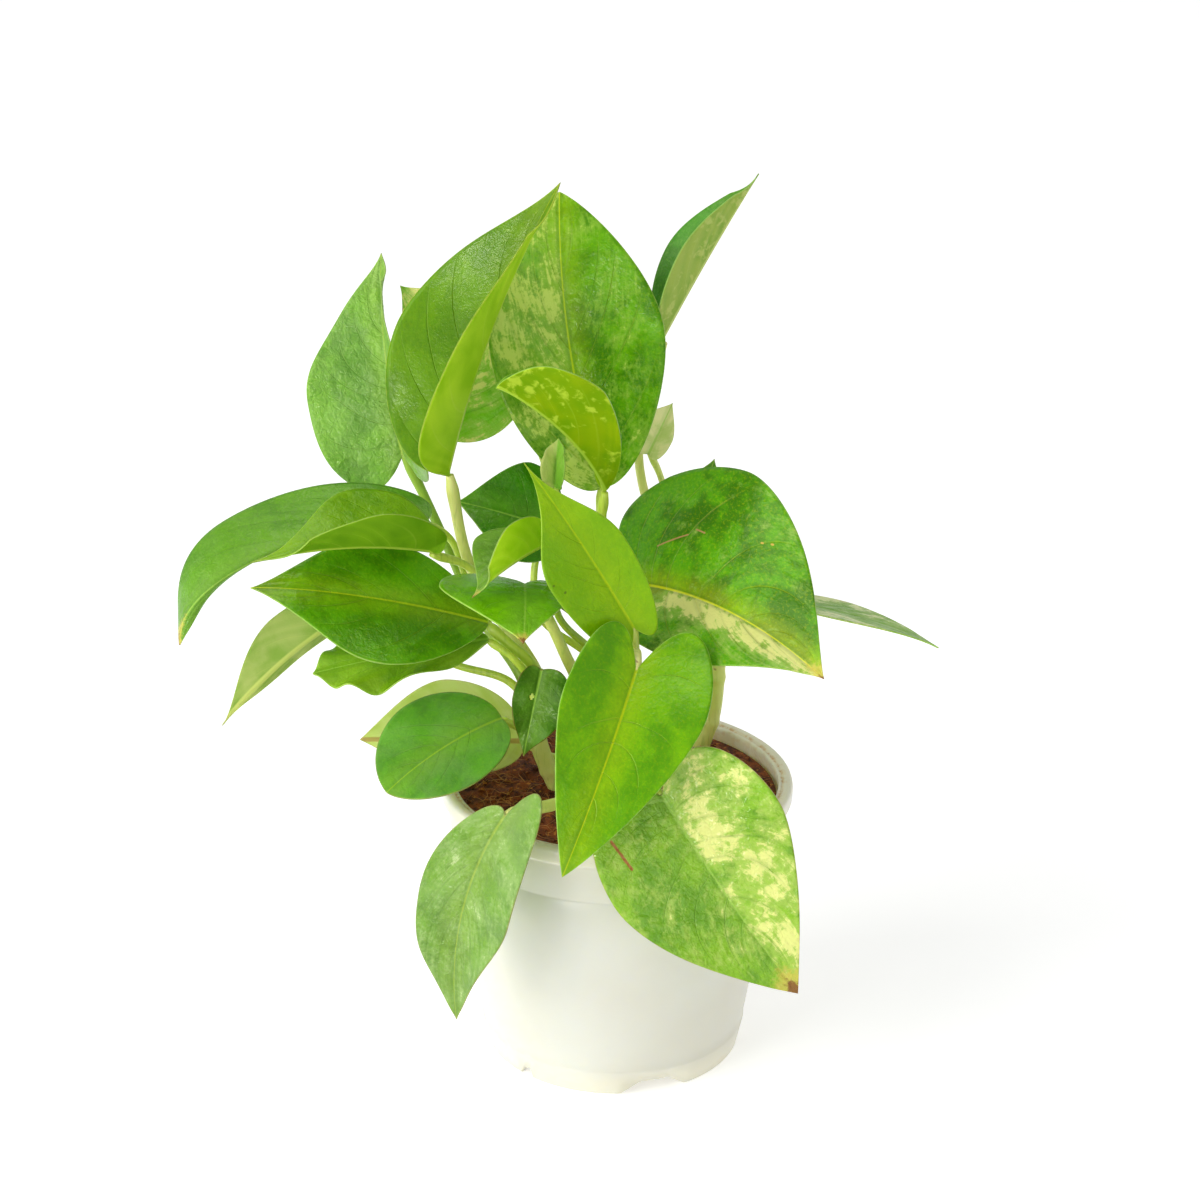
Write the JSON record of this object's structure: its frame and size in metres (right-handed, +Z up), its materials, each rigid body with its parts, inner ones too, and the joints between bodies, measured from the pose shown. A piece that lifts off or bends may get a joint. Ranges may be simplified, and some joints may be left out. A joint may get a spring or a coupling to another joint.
{
  "type": "potted pothos plant",
  "caption": "Pothos houseplant with glossy heart-shaped leaves, some streaked with cream, on arching stalks in coir soil, in a tapered white plastic nursery pot.",
  "frame": {"origin": "Centre of the pot's foot, on the surface that the pot stands on.", "axes": "+Z is up, -Y is the front, the side with the two leaves that hang over the rim, and +X is to the right seen from the front."},
  "size_m": [0.2268, 0.1266, 0.2711],
  "materials": {
    "pot_plastic": "smooth, softly glossy injection-moulded polypropylene",
    "coir_soil": "loose damp coir and peat, matt",
    "stem_skin": "smooth fleshy plant skin, satin",
    "leaf_mature": "waxy leaf, glossy",
    "leaf_young": "young waxy leaf, glossy",
    "leaf_variegated": "waxy leaf with cream streaks, glossy",
    "leaf_underside": "leaf turned to show its pale back, satin"
  },
  "bodies": {
    "root": {"pot": "pot_plastic", "soil": "coir_soil", "stem_left": "stem_skin", "stem_centre": "stem_skin", "stem_middle": "stem_skin", "stem_right": "stem_skin", "stem_front": "stem_skin", "stem_low_left": "stem_skin", "leaf_upper_left": "leaf_mature", "leaf_far_left": "leaf_mature", "leaf_far_left_under": "leaf_young", "leaf_top_left": "leaf_young", "leaf_top_middle": "leaf_mature", "leaf_inner_left": "leaf_mature", "leaf_inner_upper": "leaf_variegated", "leaf_turned_middle": "leaf_underside", "leaf_young_small": "leaf_variegated", "leaf_young_bright": "leaf_young", "leaf_folded_middle": "leaf_mature", "leaf_dark_middle": "leaf_mature", "leaf_right_large": "leaf_variegated", "leaf_right_inner": "leaf_mature", "leaf_top_right": "leaf_variegated", "leaf_small_right": "leaf_variegated", "leaf_far_right": "leaf_variegated", "leaf_front_middle": "leaf_mature", "leaf_front_right": "leaf_variegated", "leaf_front_left": "leaf_variegated", "leaf_low_left": "leaf_mature", "leaf_low_left_under": "leaf_underside", "leaf_left_large": "leaf_mature", "leaf_left_turned": "leaf_underside", "leaf_left_wavy": "leaf_mature", "leaf_ragged_small": "leaf_mature", "leaf_inner_right": "leaf_mature"}
  },
  "joints": []
}
